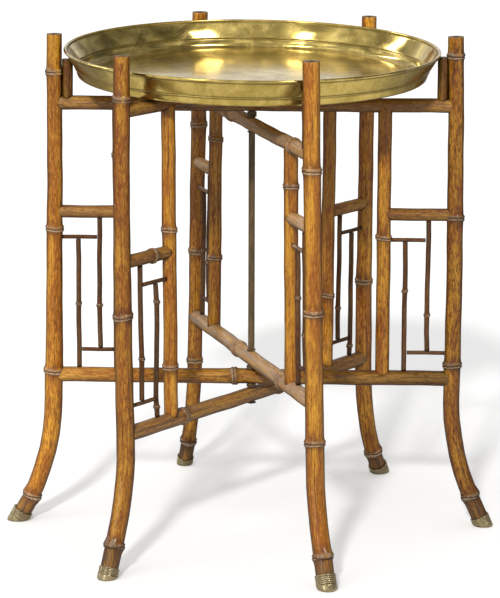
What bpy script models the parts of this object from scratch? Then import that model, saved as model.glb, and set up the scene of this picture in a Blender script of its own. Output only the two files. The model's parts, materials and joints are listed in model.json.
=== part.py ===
"""Brass tray table: a loose spun brass tray on a folding bamboo stand.

The stand is three like frames of bamboo cane that cross on one upright iron rod. Each frame has a
leg at both ends, joined by a top rail and a lower rail that run through the rod. Inside each leg
stands a thinner inner post, tied to the leg by a mid rail, with four thin twigs of fretwork below
it. The rails of the three frames are stacked in height, so the frames can cross, and swing
together when the tray is off. Metres, +Z up, the origin on the floor under the rod.
"""
import math

import bmesh
import bpy
from mathutils import Matrix, Vector

MM = 0.001

# The whole table. The other sizes were set out against this height.
HEIGHT = 660 * MM
GAP = 0.3 * MM                    # left between neighbouring pieces
CANE_SIDES = 14
TWIG_SIDES = 8

# Legs: nearly upright canes whose feet are bent outwards in a circular arc.
BEND_HEIGHT = 171.6 * MM
FOOT_STEPS = 7
LEG_END_HEIGHT = 6.0 * MM         # the cane stops inside its ferrule

# Brass ferrules on the feet.
FERRULE_WALL = 1.7 * MM           # beyond the cane
FERRULE_RIM = 0.6 * MM            # beyond the wall
FERRULE_GROOVE = 0.5 * MM
FERRULE_TOP = 13.5 * MM
FERRULE_RIBS = 5

# Posts, rails and rests.
POST_OUT = 174.3 * MM             # from the rod to the inner post's axis
POST_RADIUS = 9.4 * MM
TOP_RAIL_RADIUS = 9.5 * MM
LOWER_RAIL_RADIUS = 10.25 * MM
MID_RAIL_RADIUS = 8.6 * MM
MID_RAIL_ABOVE_LOWER = 221.5 * MM
REST_RADIUS = 7.5 * MM
REST_BITE = 1.0 * MM              # how deep the rest is coped to the leg beside it
REST_CLEARANCE = 1.6 * MM         # below the wall of the tray, at the closest point of the swing

# Fretwork twigs, as shares of the panel between the posts and between the mid and lower rails.
UPRIGHT_TWIG_RADIUS = 3.5 * MM
LEVEL_TWIG_RADIUS = 2.85 * MM
UPRIGHT_SHARES = (0.305, 0.630)   # of the way from the inner post to the leg
TOP_TWIG_SHARE = 0.155            # of the way down from the mid rail
BOTTOM_TWIG_SHARE = 0.843

# Bamboo knuckles: the ring swells over a short length of cane.
KNUCKLE_HALF = 4.5 * MM
KNUCKLE_SWELL = 1.16
TWIG_KNUCKLE_HALF = 3.0 * MM
TWIG_KNUCKLE_SWELL = 1.30

# The iron rod, its two riveted heads and the spacers between the rails.
ROD_RADIUS = 4.3 * MM
ROD_CLEARANCE = 0.3 * MM
ROD_HEAD_RADIUS = 7.0 * MM
ROD_HEAD_HEIGHT = 2.4 * MM
SPACER_RADIUS = 6.5 * MM

# The tray, turned about its own axis, from the underside of its floor.
TRAY_BASE = 606.8 * MM            # the underside, over the rod
TRAY_LEAN = math.radians(1.93)    # the tray lies a little lower towards the front right leg
TRAY_SHEET = 1.2 * MM
TRAY_FLOOR_RADIUS = 225.5 * MM
TRAY_STEP_RADIUS = 230.0 * MM
TRAY_STEP_HEIGHT = 10.2 * MM
TRAY_RIDGE = 1.2 * MM
TRAY_WALL_FOOT = (230.6 * MM, 12.6 * MM)   # the outside of the flared wall, just above the step
TRAY_WALL_TOP = (243.0 * MM, 32.2 * MM)    # and where it meets the rolled rim
TRAY_BEAD_RADIUS = 2.1 * MM
TRAY_TURN_STEPS = 64

# Each frame: which way it points, how far it has twisted from top to floor, the heights of its
# rails, the distance from the rod to its feet, and the side of each panel that the top twig of the
# fretwork is fixed to.
FRAMES = {
    "middle": {
        "azimuth": 0.0, "twist": 0.0, "top": 569.3 * MM, "lower": 203.1 * MM,
        "fret_side": -1,
    },
    "inner": {
        "azimuth": 108.1, "twist": 2.0, "top": 543.3 * MM, "lower": 228.6 * MM,
        "fret_side": 1,
    },
    "outer": {
        "azimuth": 54.4, "twist": 2.0, "top": 591.5 * MM, "lower": 178.9 * MM,
        "fret_side": 1,
    },
}

# Each end of a frame, by the direction of its leg. No two canes are alike: "leg_out" is the
# distance from the rod to the leg's axis at its top and where its foot starts to bend, and how far
# it bows outwards between them; "foot" is how far out the bend would reach the floor, and the height
# below which the foot runs straight instead; "leg_radius" is at its top and its foot. The other
# lists are the heights of the knuckles. All in millimetres.
ENDS = {
    "right": {
        "frame": "middle", "side": 1, "rest": True,
        "leg_out": (265.0, 267.0, 2.0), "foot": (317.3, 45), "leg_radius": (10.6, 11.5),
        "leg": (634, 421, 222, 43), "post": (394,), "standing": (321,), "hanging": (289,),
    },
    "left": {
        "frame": "middle", "side": -1, "rest": True,
        "leg_out": (258.6, 264.6, -1.0), "foot": (315.5, 0), "leg_radius": (10.2, 11.6),
        "leg": (610, 402, 209, 36), "post": (282, 500), "standing": (300,), "hanging": (298,),
    },
    "back_left": {
        "frame": "inner", "side": 1, "rest": True,
        "leg_out": (261.8, 266.3, 0.0), "foot": (316.0, 45), "leg_radius": (11.0, 10.4),
        "leg": (503, 322, 165, 40), "post": (496, 331), "standing": (330,), "hanging": (318,),
    },
    "front_right": {
        "frame": "inner", "side": -1, "rest": True,
        "leg_out": (261.8, 266.3, 0.0), "foot": (315.0, 45), "leg_radius": (11.0, 12.2),
        "leg": (525, 345, 179, 38), "post": (490,), "standing": (352,), "hanging": (310,),
    },
    "back_right": {
        "frame": "outer", "side": 1, "rest": False,
        "leg_out": (261.8, 266.0, -2.0), "foot": (316.5, 0), "leg_radius": (10.3, 11.3),
        "leg": (545, 289, 36), "post": (284,), "standing": (202,), "hanging": (261,),
    },
    "front_left": {
        "frame": "outer", "side": -1, "rest": False,
        "leg_out": (263.5, 268.5, 3.0), "foot": (315.5, 45), "leg_radius": (10.6, 11.9),
        "leg": (606, 332, 40), "post": (429, 250), "standing": (340, 202), "hanging": (271,),
    },
}

# Knuckles of the rails, in millimetres along the frame from the rod.
RAIL_KNUCKLES = {
    "middle": {"top": (-120,), "lower": (-22,)},
    "inner": {"top": (96, -186), "lower": (56, -140)},
    "outer": {"top": (-80, 140), "lower": (-150, 60)},
}
MID_RAIL_KNUCKLES = {"front_left": 209}

# How far the two swinging frames turn from this opened position when the stand is folded flat
# against the middle frame. The tray's rests are cut so that they clear the tray all the way.
FOLD_DEG = {"middle": 0, "inner": 62, "outer": -45}

MATERIALS = {
    "bamboo_leg": ((0.40, 0.17, 0.045), 0.32, 0.0),
    "bamboo_rail": ((0.46, 0.24, 0.09), 0.38, 0.0),
    "bamboo_twig": ((0.15, 0.065, 0.03), 0.42, 0.0),
    "old_brass": ((0.36, 0.27, 0.12), 0.42, 1.0),
    "polished_brass": ((0.80, 0.62, 0.24), 0.18, 1.0),
    "iron": ((0.09, 0.075, 0.045), 0.55, 1.0),
}


def clear_scene():
    for thing in list(bpy.data.objects):
        bpy.data.objects.remove(thing)


def new_collection(name):
    collection = bpy.data.collections.new(name)
    bpy.context.scene.collection.children.link(collection)
    return collection


def make_material(name):
    colour, roughness, metallic = MATERIALS[name]
    material = bpy.data.materials.new(name)
    material.use_nodes = True
    shader = material.node_tree.nodes["Principled BSDF"]
    shader.inputs["Base Color"].default_value = (*colour, 1.0)
    shader.inputs["Roughness"].default_value = roughness
    shader.inputs["Metallic"].default_value = metallic
    material.diffuse_color = (*colour, 1.0)
    return material


class Table:
    """Holds the collections, materials, frame empties and cutters that the pieces share."""

    def __init__(self):
        self.pieces = new_collection("brass_tray_table")
        self.cutters = new_collection("cutters")
        self.materials = {name: make_material(name) for name in MATERIALS}
        self.empties = {}
        self.outlines = {}

    def add_empty(self, name, azimuth_deg=0.0):
        empty = bpy.data.objects.new(name, None)
        empty.rotation_euler.z = math.radians(azimuth_deg)
        self.pieces.objects.link(empty)
        self.empties[name] = empty

    def add_piece(self, name, mesh, empty, material):
        """Make a sub-part of a mesh that is drawn in its empty's own frame."""
        mesh.name = name
        mesh.shade_smooth()
        mesh.set_sharp_from_angle(angle=math.radians(40))
        piece = bpy.data.objects.new(name, mesh)
        piece.parent = self.empties[empty]
        mesh.materials.clear()
        mesh.materials.append(self.materials[material])
        self.pieces.objects.link(piece)
        return piece

    def add_cutter(self, name, mesh, empty):
        cutter = bpy.data.objects.new(name + "_cutter", mesh)
        cutter.parent = self.empties[empty]
        cutter.display_type = "WIRE"
        cutter.hide_render = True
        self.cutters.objects.link(cutter)
        return cutter

    def add_cane(self, name, path, radii, empty, material, sides=CANE_SIDES):
        self.outlines[name] = (path, radii, empty, sides)
        return self.add_piece(name, cane_mesh(path, radii, sides), empty, material)

    def neighbour_cutter(self, name):
        """A cane's own shape, grown by the gap, to cut its neighbours with."""
        existing = self.cutters.objects.get(name + "_cutter")
        if existing:
            return existing
        path, radii, empty, sides = self.outlines[name]
        grown_path = [Vector(point) for point in path]
        grown_path[0] += (grown_path[0] - grown_path[1]).normalized() * GAP
        grown_path[-1] += (grown_path[-1] - grown_path[-2]).normalized() * GAP
        grown = cane_mesh(grown_path, [radius + GAP for radius in radii], sides)
        return self.add_cutter(name, grown, empty)


def cut(piece, cutter):
    modifier = piece.modifiers.new("cut by " + cutter.name, "BOOLEAN")
    modifier.operation = "DIFFERENCE"
    modifier.solver = "EXACT"
    modifier.object = cutter


def cane_mesh(path, radii, sides):
    """A closed round tube through the points of path, with its own radius at each point."""
    curve = bpy.data.curves.new("cane", "CURVE")
    curve.dimensions = "3D"
    curve.bevel_depth = 1.0
    curve.bevel_resolution = (sides - 4) // 2
    curve.use_fill_caps = True
    spline = curve.splines.new("POLY")
    spline.points.add(len(path) - 1)
    for point, position, radius in zip(spline.points, path, radii):
        point.co = (*position, 1.0)
        point.radius = radius
    drawn = bpy.data.objects.new("cane", curve)
    bpy.context.scene.collection.objects.link(drawn)
    depsgraph = bpy.context.evaluated_depsgraph_get()
    mesh = bpy.data.meshes.new_from_object(drawn.evaluated_get(depsgraph))
    bpy.data.objects.remove(drawn)
    bpy.data.curves.remove(curve)
    shell = bmesh.new()
    shell.from_mesh(mesh)
    bmesh.ops.remove_doubles(shell, verts=shell.verts, dist=0.01 * MM)
    bmesh.ops.recalc_face_normals(shell, faces=shell.faces)
    shell.to_mesh(mesh)
    shell.free()
    return mesh


def cylinder_mesh(radius, low, high, sides):
    mesh = bpy.data.meshes.new("cylinder")
    shell = bmesh.new()
    middle = Matrix.Translation((0.0, 0.0, (low + high) / 2))
    bmesh.ops.create_cone(
        shell, cap_ends=True, segments=sides, radius1=radius, radius2=radius,
        depth=high - low, matrix=middle)
    shell.to_mesh(mesh)
    shell.free()
    return mesh


def box_mesh(half_width, low, high):
    mesh = bpy.data.meshes.new("box")
    shell = bmesh.new()
    size = Matrix.Diagonal((2 * half_width, 2 * half_width, high - low, 1.0))
    middle = Matrix.Translation((0.0, 0.0, (low + high) / 2))
    bmesh.ops.create_cube(shell, size=1.0, matrix=middle @ size)
    shell.to_mesh(mesh)
    shell.free()
    return mesh


def place(frame, along, height):
    """A point of a frame: along it from the rod, and up from the floor, with the frame's twist."""
    turn = math.radians(FRAMES[frame]["twist"]) * (1 - height / HEIGHT)
    return Vector((along * math.cos(turn), along * math.sin(turn), height))


def leg_out(end, height):
    """From the rod to the leg's axis, at a height."""
    at_top, at_bend, bow = (size * MM for size in ENDS[end]["leg_out"])
    if height >= BEND_HEIGHT:
        share = (height - BEND_HEIGHT) / (HEIGHT - BEND_HEIGHT)
        return at_bend + share * (at_top - at_bend) + 4 * share * (1 - share) * bow
    arc_out, straight_below = (size * MM for size in ENDS[end]["foot"])
    reach = arc_out - at_bend
    bend_radius = (reach ** 2 + BEND_HEIGHT ** 2) / (2 * reach)
    drop = BEND_HEIGHT - max(height, straight_below)
    rise = math.sqrt(bend_radius ** 2 - drop ** 2)
    slope = drop / rise
    return at_bend + bend_radius - rise + slope * max(0.0, straight_below - height)


def leg_radius(end, height):
    at_top, at_foot = (size * MM for size in ENDS[end]["leg_radius"])
    return at_foot + (at_top - at_foot) * height / HEIGHT


def knuckled(start, end, radius, knuckles, half=KNUCKLE_HALF, swell=KNUCKLE_SWELL):
    """Stations along a straight cane, each a distance and the cane's radius there."""
    stations = [(start, radius), (end, radius)]
    for knuckle in knuckles:
        stations += [(knuckle - half, radius), (knuckle, radius * swell), (knuckle + half, radius)]
    return sorted(stations, key=lambda station: station[0])


def upright_cane(table, name, frame, along, stations, material, sides=CANE_SIDES):
    path = [place(frame, along, height) for height, _ in stations]
    radii = [radius for _, radius in stations]
    return table.add_cane(name, path, radii, frame + "_frame", material, sides)


def level_cane(table, name, frame, height, stations, material, sides=CANE_SIDES):
    path = [place(frame, along, height) for along, _ in stations]
    radii = [radius for _, radius in stations]
    return table.add_cane(name, path, radii, frame + "_frame", material, sides)


def make_leg(table, end):
    frame = ENDS[end]["frame"]
    side = ENDS[end]["side"]
    knuckles = [height * MM for height in ENDS[end]["leg"]]
    stations = knuckled(LEG_END_HEIGHT, HEIGHT, 1.0, knuckles)
    taken = [height for height, _ in stations]
    bend_steps = [BEND_HEIGHT * (step + 1) / FOOT_STEPS for step in range(FOOT_STEPS)]
    bow_steps = [BEND_HEIGHT + (HEIGHT - BEND_HEIGHT) * step / 5 for step in range(1, 5)]
    for height in bend_steps + bow_steps:
        if min(abs(height - other) for other in taken) > 2 * KNUCKLE_HALF:
            stations.append((height, 1.0))
    stations.sort(key=lambda station: station[0])
    path = [place(frame, side * leg_out(end, height), height) for height, _ in stations]
    radii = [swell * leg_radius(end, height) for height, swell in stations]
    table.add_cane(end + "_leg", path, radii, frame + "_frame", "bamboo_leg")


def make_ferrule(table, end, floor):
    """A ribbed brass cup on the foot, bored for the cane and cut flat on the floor."""
    frame = ENDS[end]["frame"]
    side = ENDS[end]["side"]
    radius = leg_radius(end, 0.0) + FERRULE_WALL
    stations = [(-LEG_END_HEIGHT, radius)]
    first_groove = 0.4 * LEG_END_HEIGHT
    rib = (FERRULE_TOP - first_groove) / FERRULE_RIBS
    for step in range(FERRULE_RIBS):
        bottom = first_groove + step * rib
        stations.append((bottom - 0.25 * rib, radius))
        stations.append((bottom + 0.25 * rib, radius - FERRULE_GROOVE))
    stations.append((FERRULE_TOP - 0.2 * rib, radius + FERRULE_RIM))
    stations.append((FERRULE_TOP, radius + FERRULE_RIM))
    path = [place(frame, side * leg_out(end, height), height) for height, _ in stations]
    cup = cane_mesh(path, [radius for _, radius in stations], CANE_SIDES)
    ferrule = table.add_piece(end + "_ferrule", cup, frame + "_frame", "old_brass")
    cut(ferrule, table.neighbour_cutter(end + "_leg"))
    cut(ferrule, floor)


def make_rails(table, frame):
    """The top and lower rail of a frame, coped to the legs and bored for the rod."""
    ends = {ENDS[end]["side"]: end for end in ENDS if ENDS[end]["frame"] == frame}
    bore = table.cutters.objects["rod_cutter"]
    for level, radius in (("top", TOP_RAIL_RADIUS), ("lower", LOWER_RAIL_RADIUS)):
        height = FRAMES[frame][level]
        knuckles = [along * MM for along in RAIL_KNUCKLES[frame][level]]
        stations = knuckled(-leg_out(ends[-1], height), leg_out(ends[1], height), radius, knuckles)
        rail = level_cane(table, f"{frame}_{level}_rail", frame, height, stations, "bamboo_rail")
        for end in ends.values():
            cut(rail, table.neighbour_cutter(end + "_leg"))
        cut(rail, bore)


def make_post_and_mid_rail(table, end):
    frame = ENDS[end]["frame"]
    side = ENDS[end]["side"]
    lower = FRAMES[frame]["lower"]
    top = FRAMES[frame]["top"]
    knuckles = [height * MM for height in ENDS[end]["post"]]
    stations = knuckled(lower, top, POST_RADIUS, knuckles)
    post = upright_cane(
        table, end + "_inner_post", frame, side * POST_OUT, stations, "bamboo_leg")
    for level in ("top", "lower"):
        cut(post, table.neighbour_cutter(f"{frame}_{level}_rail"))

    height = lower + MID_RAIL_ABOVE_LOWER
    reach = leg_out(end, height)
    knuckles = [MID_RAIL_KNUCKLES[end] * MM] if end in MID_RAIL_KNUCKLES else []
    stations = knuckled(POST_OUT, reach, MID_RAIL_RADIUS, knuckles)
    stations = [(side * along, radius) for along, radius in stations]
    rail = level_cane(table, end + "_mid_rail", frame, height, stations, "bamboo_rail")
    cut(rail, table.neighbour_cutter(end + "_leg"))
    cut(rail, table.neighbour_cutter(end + "_inner_post"))


def make_fretwork(table, end):
    """Four thin twigs in a pinwheel: each level twig stops at the side of an upright one."""
    frame = ENDS[end]["frame"]
    side = ENDS[end]["side"]
    lower = FRAMES[frame]["lower"]
    mid = lower + MID_RAIL_ABOVE_LOWER
    top_twig = mid - TOP_TWIG_SHARE * MID_RAIL_ABOVE_LOWER
    bottom_twig = mid - BOTTOM_TWIG_SHARE * MID_RAIL_ABOVE_LOWER
    panel = leg_out(end, (mid + lower) / 2) - POST_OUT
    near_post, near_leg = (POST_OUT + share * panel for share in UPRIGHT_SHARES)
    top_twig_on_leg = side == FRAMES[frame]["fret_side"]
    standing = near_leg if top_twig_on_leg else near_post
    hanging = near_post if top_twig_on_leg else near_leg

    spans = {
        "standing": (standing, lower + LOWER_RAIL_RADIUS, top_twig - LEVEL_TWIG_RADIUS),
        "hanging": (hanging, bottom_twig + LEVEL_TWIG_RADIUS, mid - MID_RAIL_RADIUS),
    }
    for twig, (out, low, high) in spans.items():
        knuckles = [height * MM for height in ENDS[end][twig]]
        stations = knuckled(
            low + GAP, high - GAP, UPRIGHT_TWIG_RADIUS, knuckles, TWIG_KNUCKLE_HALF, TWIG_KNUCKLE_SWELL)
        name = f"{end}_fret_{twig}_twig"
        upright_cane(table, name, frame, side * out, stations, "bamboo_twig", sides=TWIG_SIDES)

    twig_reach = UPRIGHT_TWIG_RADIUS + GAP
    level_twigs = (
        ("top", top_twig, top_twig_on_leg, hanging),
        ("bottom", bottom_twig, not top_twig_on_leg, standing),
    )
    for twig, height, on_leg, upright in level_twigs:
        if on_leg:
            outs = (upright + twig_reach, leg_out(end, height))
            holder = end + "_leg"
        else:
            outs = (POST_OUT, upright - twig_reach)
            holder = end + "_inner_post"
        stations = [(side * out, LEVEL_TWIG_RADIUS) for out in outs]
        name = f"{end}_fret_{twig}_twig"
        piece = level_cane(table, name, frame, height, stations, "bamboo_twig", sides=TWIG_SIDES)
        cut(piece, table.neighbour_cutter(holder))


def tray_tilt():
    """The turn that lowers the tray's edge towards the front right leg."""
    frame = FRAMES["inner"]
    towards = math.radians(frame["azimuth"] + 180)
    facing = Matrix.Rotation(towards, 4, "Z")
    return facing @ Matrix.Rotation(TRAY_LEAN, 4, "Y") @ facing.inverted()


def tray_wall_underside(out, azimuth):
    """Height of the underside of the tray's flared wall, at a distance and direction."""
    foot_radius, foot_height = TRAY_WALL_FOOT
    top_radius, top_height = TRAY_WALL_TOP
    flare = foot_height + (out - foot_radius) / (top_radius - foot_radius) * (top_height - foot_height)
    downhill = math.radians(FRAMES["inner"]["azimuth"] + 180)
    drop = math.tan(TRAY_LEAN) * out * math.cos(azimuth - downhill)
    return TRAY_BASE + flare - drop


def make_tray_rest(table, end):
    """A short cane that stands on the top rail, close inside the leg, under the tray's wall."""
    frame = ENDS[end]["frame"]
    side = ENDS[end]["side"]
    foot = FRAMES[frame]["top"]
    out = leg_out(end, foot) - leg_radius(end, foot) - REST_RADIUS + REST_BITE
    inner_edge = out - REST_RADIUS
    start = FRAMES[frame]["azimuth"] + (0 if side > 0 else 180)
    swing = FOLD_DEG[frame]
    directions = [math.radians(start + swing * step / 10) for step in range(11)]
    top = min(tray_wall_underside(inner_edge, direction) for direction in directions) - REST_CLEARANCE
    stations = knuckled(foot, top, REST_RADIUS, ())
    rest = upright_cane(table, end + "_tray_rest", frame, side * out, stations, "bamboo_leg")
    cut(rest, table.neighbour_cutter(f"{frame}_top_rail"))
    cut(rest, table.neighbour_cutter(end + "_leg"))


def turned(table, name, outline, empty, material, steps):
    """A turned piece: the outline goes from the top of the axis, out, and down to its foot."""
    mesh = bpy.data.meshes.new(name)
    points = [(radius, 0.0, height) for radius, height in outline]
    edges = [(index, index + 1) for index in range(len(points) - 1)]
    mesh.from_pydata(points, edges, [])
    piece = table.add_piece(name, mesh, empty, material)
    screw = piece.modifiers.new("turn", "SCREW")
    screw.axis = "Z"
    screw.steps = steps
    screw.render_steps = steps
    screw.use_merge_vertices = True
    screw.merge_threshold = 0.01 * MM
    screw.use_smooth_shade = True
    return piece


def make_rod(table):
    """The iron rod, riveted over at both ends, with the spacers that keep the rails apart."""
    rails = []
    for frame in FRAMES.values():
        rails.append((frame["top"], TOP_RAIL_RADIUS))
        rails.append((frame["lower"], LOWER_RAIL_RADIUS))
    rails.sort(reverse=True)

    head_foot = rails[0][0] + rails[0][1] + GAP
    outline = [
        (0.0, head_foot + ROD_HEAD_HEIGHT),
        (0.6 * ROD_HEAD_RADIUS, head_foot + 0.9 * ROD_HEAD_HEIGHT),
        (ROD_HEAD_RADIUS, head_foot + 0.4 * ROD_HEAD_HEIGHT),
        (ROD_HEAD_RADIUS, head_foot),
        (ROD_RADIUS, head_foot),
    ]
    for (upper, upper_radius), (lower, lower_radius) in zip(rails, rails[1:]):
        high = upper - upper_radius - GAP
        low = lower + lower_radius + GAP
        if high - low < ROD_HEAD_RADIUS * 2:
            outline += [(ROD_RADIUS, high), (SPACER_RADIUS, high), (SPACER_RADIUS, low), (ROD_RADIUS, low)]
    tail = rails[-1][0] - rails[-1][1] - GAP
    outline += [
        (ROD_RADIUS, tail),
        (ROD_HEAD_RADIUS, tail),
        (ROD_HEAD_RADIUS, tail - 0.6 * ROD_HEAD_HEIGHT),
        (0.6 * ROD_HEAD_RADIUS, tail - ROD_HEAD_HEIGHT),
        (0.0, tail - 1.1 * ROD_HEAD_HEIGHT),
    ]
    turned(table, "pivot_rod", outline, "middle_frame", "iron", steps=12)


def make_tray(table):
    """The tray: a flat floor, an upright step with a ridge, a flared wall and a rolled rim."""
    sheet = TRAY_SHEET
    cove = 3 * MM
    wall_foot, wall_foot_height = TRAY_WALL_FOOT
    wall_top, wall_top_height = TRAY_WALL_TOP
    ridge_height = (TRAY_STEP_HEIGHT + wall_foot_height) / 2
    inside = [
        (0.0, sheet),
        (TRAY_FLOOR_RADIUS, sheet),
        (TRAY_FLOOR_RADIUS + 0.6 * cove, sheet + 0.7 * cove),
        (TRAY_STEP_RADIUS - sheet, TRAY_STEP_HEIGHT),
        (TRAY_STEP_RADIUS + TRAY_RIDGE - sheet, ridge_height),
        (wall_foot - sheet, wall_foot_height),
        (wall_top - sheet, wall_top_height),
    ]
    bead_middle = (wall_top + 0.4 * TRAY_BEAD_RADIUS, wall_top_height + TRAY_BEAD_RADIUS)
    bead = []
    for step in range(7):
        turn = math.radians(200 - step * 260 / 6)
        bead.append((
            bead_middle[0] + TRAY_BEAD_RADIUS * math.cos(turn),
            bead_middle[1] + TRAY_BEAD_RADIUS * math.sin(turn)))
    outside = [
        (wall_top, wall_top_height),
        (wall_foot, wall_foot_height),
        (TRAY_STEP_RADIUS + TRAY_RIDGE, ridge_height),
        (TRAY_STEP_RADIUS, TRAY_STEP_HEIGHT),
        (TRAY_FLOOR_RADIUS + cove, cove),
        (TRAY_FLOOR_RADIUS + 0.6 * cove, 0.3 * cove),
        (TRAY_FLOOR_RADIUS, 0.0),
        (0.0, 0.0),
    ]
    outline = inside + bead + outside
    tray = turned(
        table, "brass_tray", outline, "tray_lift", "polished_brass", steps=TRAY_TURN_STEPS)
    tray.location.z = TRAY_BASE
    tray.rotation_euler = tray_tilt().to_euler()


def main():
    clear_scene()
    table = Table()
    for frame, design in FRAMES.items():
        table.add_empty(frame + "_frame", design["azimuth"])
    table.add_empty("tray_lift")
    bore = cylinder_mesh(ROD_RADIUS + ROD_CLEARANCE, 0.1 * HEIGHT, HEIGHT, sides=12)
    table.add_cutter("rod", bore, "middle_frame")
    ground = box_mesh(HEIGHT, -0.2 * HEIGHT, 0.0)
    floor = table.add_cutter("floor", ground, "middle_frame")

    for end in ENDS:
        make_leg(table, end)
        make_ferrule(table, end, floor)
    for frame in FRAMES:
        make_rails(table, frame)
    for end in ENDS:
        make_post_and_mid_rail(table, end)
        make_fretwork(table, end)
        if ENDS[end]["rest"]:
            make_tray_rest(table, end)
    make_rod(table)
    make_tray(table)
    bpy.context.view_layer.update()


main()
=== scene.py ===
"""The looks of a folding bamboo table and its loose brass tray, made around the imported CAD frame.

Every cane is measured by slicing its CAD solid, then made again with bamboo's joints, grooves and bud
scars. The ferrules, the rod and the tray are turned again with finer outlines. Lengths are in metres.
"""

import json
import math
import random
from functools import partial, reduce

import bmesh
import bpy
import numpy as np
from mathutils import Matrix, Vector


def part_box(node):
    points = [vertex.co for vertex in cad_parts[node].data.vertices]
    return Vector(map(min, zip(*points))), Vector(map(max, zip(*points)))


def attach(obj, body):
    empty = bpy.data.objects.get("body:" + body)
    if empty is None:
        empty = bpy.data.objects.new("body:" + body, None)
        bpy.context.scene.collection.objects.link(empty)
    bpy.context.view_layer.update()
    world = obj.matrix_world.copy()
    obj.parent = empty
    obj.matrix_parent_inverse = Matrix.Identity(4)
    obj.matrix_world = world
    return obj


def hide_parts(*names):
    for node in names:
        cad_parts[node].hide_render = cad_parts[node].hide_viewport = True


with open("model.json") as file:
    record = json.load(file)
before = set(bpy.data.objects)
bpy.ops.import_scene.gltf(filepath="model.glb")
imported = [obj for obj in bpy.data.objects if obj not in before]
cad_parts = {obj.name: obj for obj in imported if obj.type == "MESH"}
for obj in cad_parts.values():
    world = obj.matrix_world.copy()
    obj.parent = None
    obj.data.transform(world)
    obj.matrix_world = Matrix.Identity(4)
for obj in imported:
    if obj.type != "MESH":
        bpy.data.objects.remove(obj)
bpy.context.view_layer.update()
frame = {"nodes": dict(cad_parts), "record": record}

MM = 0.001
TURN = math.tau

# Measuring a CAD cane
SLICE_STEP = 2 * MM
SMALLEST_AREA = 1e-9  # in square metres
FIT_ROUNDS = 3
FIT_SHARES = np.linspace(0.25, 0.75, 9)  # where a straight cane's axis is found
WHOLE_SHARE = 0.8  # a slice with less than this share of the radius is cut into
MEDIAN_HALF = 15  # slices each side of the radius's running median
SMOOTH_HALF = 4  # and of its running mean
KNUCKLE_EXCESS = 1.06  # a slice this much over the median is part of a joint
KNUCKLE_GAP = 2  # joints are more slices apart than this
FOOT_LEVEL = 15 * MM  # level slices of a leg are whole above this
FOOT_CLEAR = 1.4 * FOOT_LEVEL  # and slices across it above this
FOOT_FIT = 5  # slices that the line down to the floor is drawn through
HEAD_FIT = 10  # and the line up to the top

# Making a cane
CANE_SIDES, TWIG_SIDES = 30, 18
CANE_STEP, TWIG_STEP = 5 * MM, 4 * MM
CLOSEST = 0.15 * MM  # rings closer than this become one
UNIT_RADIUS = 10 * MM  # the joint's outline is for a cane of this radius
TWIG_SIZE = 0.52  # a twig's joints are this share of that size
TWIG_SWELL = 2.2  # and stand out this much more
JOINT_REACH = 18  # no evenly spaced rings lie this close to a joint
JOINT_STATIONS = (-18, -13, -9, -6.5, -5, -4.2, -3.6, -3.1, -2.6, -2.1, -1.6, -1.2, -0.8, -0.4, 0.0, 0.4,
                  0.9, 1.4, 1.9, 2.5, 3.1, 3.6, 4.2, 5.0, 6.5, 8.5, 11.5, 15)
NO_JOINT = 60.0  # the stored distance where no joint is near
JOINT_FAR, JOINT_FADE = 30, 10  # where the joints' colours end, and their fading before it
BUD_SHARE = 0.6  # how many of the joints have a bud scar
GROOVE_DEPTHS = (0.0, 0.02, 0.035, 0.055)  # as shares of the radius
WANDER_WAVES = (0.23, 0.11, 0.06)
WANDER_EASE = 25 * MM  # a cane wanders less this close to its ends
LONG_TWIG = 60 * MM  # twigs over this length are kinked at their joints
SHORT_STRETCH = 30 * MM  # between joints closer than this there is no groove
LEG_START = 10 * MM  # a leg begins this far up, inside its ferrule
FOOT_FADE = 3 * MM  # the length over which a leg's dark foot ends
STOUT_AT, STOUT_REACH = 190 * MM, 120 * MM  # where some legs are a little stouter
STOUT = {  # by which share of the radius
    "left_leg": 0.1, "back_right_leg": 0.08, "front_left_leg": 0.06, "front_right_leg": 0.03,
}

# The rings that close an end, from the edge inwards: (share of the radius, mm beyond the end)
PLAIN_END = ((0.5, 0.0),)
SAWN_END = ((0.985, -0.1), (0.95, -0.35), (0.9, -0.5), (0.8, -0.55), (0.66, -0.45), (0.5, -0.6),
            (0.36, -0.4), (0.2, 0.1), (0.1, 0.45))
RIM_BEVEL = 0.9 * MM
RIM_SHARE = 0.97  # a sawn end has bare wood within this share of the radius
CUT_STEP = 0.15  # by which the stored depth into a cut jumps there

# Turned pieces
TRAY_SIDES, FERRULE_SIDES, ROD_SIDES = 224, 40, 32


def seeded(name):
    return random.Random("bamboo " + name)


# ---- measuring the CAD solids


def solid_triangles(node):
    mesh = frame["nodes"][node].data
    mesh.calc_loop_triangles()
    corners = np.empty(len(mesh.loop_triangles) * 3, dtype=np.int32)
    mesh.loop_triangles.foreach_get("vertices", corners)
    points = np.empty(len(mesh.vertices) * 3, dtype=np.float32)
    mesh.vertices.foreach_get("co", points)
    return points.reshape(-1, 3).astype(float)[corners.reshape(-1, 3)]


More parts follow.
